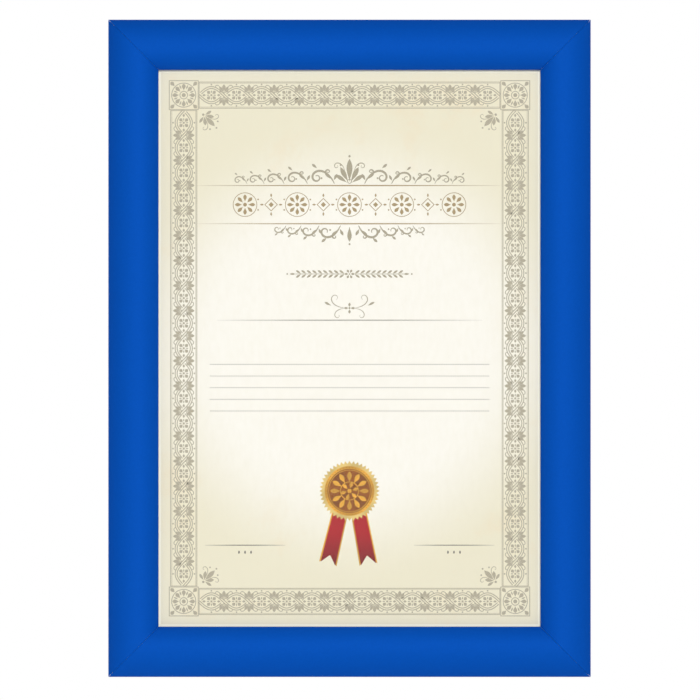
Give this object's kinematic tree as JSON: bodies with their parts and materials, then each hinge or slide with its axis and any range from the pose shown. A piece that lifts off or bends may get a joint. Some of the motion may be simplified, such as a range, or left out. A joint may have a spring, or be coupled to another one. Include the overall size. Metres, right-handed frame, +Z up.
{
  "type": "snap frame",
  "caption": "Wall-mounted snap frame for an A4 sheet: mitred convex rails on sprung hinges over base rails, with back panel, print and clear cover sheet.",
  "frame": {"origin": "centre of the pattern of four wall screw holes, on the back plane that lies on the wall", "axes": "+Z up the portrait frame, +X to the right seen from the front, +Y into the wall, so the front faces -Y"},
  "size_m": [0.24, 0.012, 0.327],
  "materials": {
    "front_aluminium": "satin blue powder coat",
    "base_aluminium": "satin blue powder coat",
    "key_steel": "zinc plated",
    "screw_steel": "black oxide",
    "spring_steel": "tempered",
    "panel_plastic": "matt white sheet",
    "paper": "printed paper",
    "clear_cover": "clear anti-glare plastic"
  },
  "bodies": {
    "base": {"base_rail_top": "base_aluminium", "base_rail_bottom": "base_aluminium", "base_rail_left": "base_aluminium", "base_rail_right": "base_aluminium", "corner_key_top_left": "key_steel", "corner_key_top_right": "key_steel", "corner_key_bottom_left": "key_steel", "corner_key_bottom_right": "key_steel", "grub_screws": "screw_steel", "spring_top_1": "spring_steel", "spring_top_2": "spring_steel", "spring_bottom_1": "spring_steel", "spring_bottom_2": "spring_steel", "spring_left_1": "spring_steel", "spring_left_2": "spring_steel", "spring_right_1": "spring_steel", "spring_right_2": "spring_steel", "back_panel": "panel_plastic", "print_sheet": "paper", "cover_sheet": "clear_cover"},
    "top_rail": {"snap_rail_top": "front_aluminium"},
    "bottom_rail": {"snap_rail_bottom": "front_aluminium"},
    "left_rail": {"snap_rail_left": "front_aluminium"},
    "right_rail": {"snap_rail_right": "front_aluminium"}
  },
  "joints": [
    {"name": "top_rail_hinge", "type": "hinge", "parent": "base", "child": "top_rail", "pos_m": [0, -0.00235, 0.1613], "axis": [-1, 0, 0], "range_deg": [0, 85], "deforming": ["spring_top_1", "spring_top_2"]},
    {"name": "bottom_rail_hinge", "type": "hinge", "parent": "base", "child": "bottom_rail", "pos_m": [0, -0.00235, -0.1613], "axis": [1, 0, 0], "range_deg": [0, 85], "deforming": ["spring_bottom_1", "spring_bottom_2"]},
    {"name": "left_rail_hinge", "type": "hinge", "parent": "base", "child": "left_rail", "pos_m": [-0.1178, -0.00235, 0], "axis": [0, 0, -1], "range_deg": [0, 85], "deforming": ["spring_left_1", "spring_left_2"]},
    {"name": "right_rail_hinge", "type": "hinge", "parent": "base", "child": "right_rail", "pos_m": [0.1178, -0.00235, 0], "axis": [0, 0, 1], "range_deg": [0, 85], "deforming": ["spring_right_1", "spring_right_2"]}
  ]
}
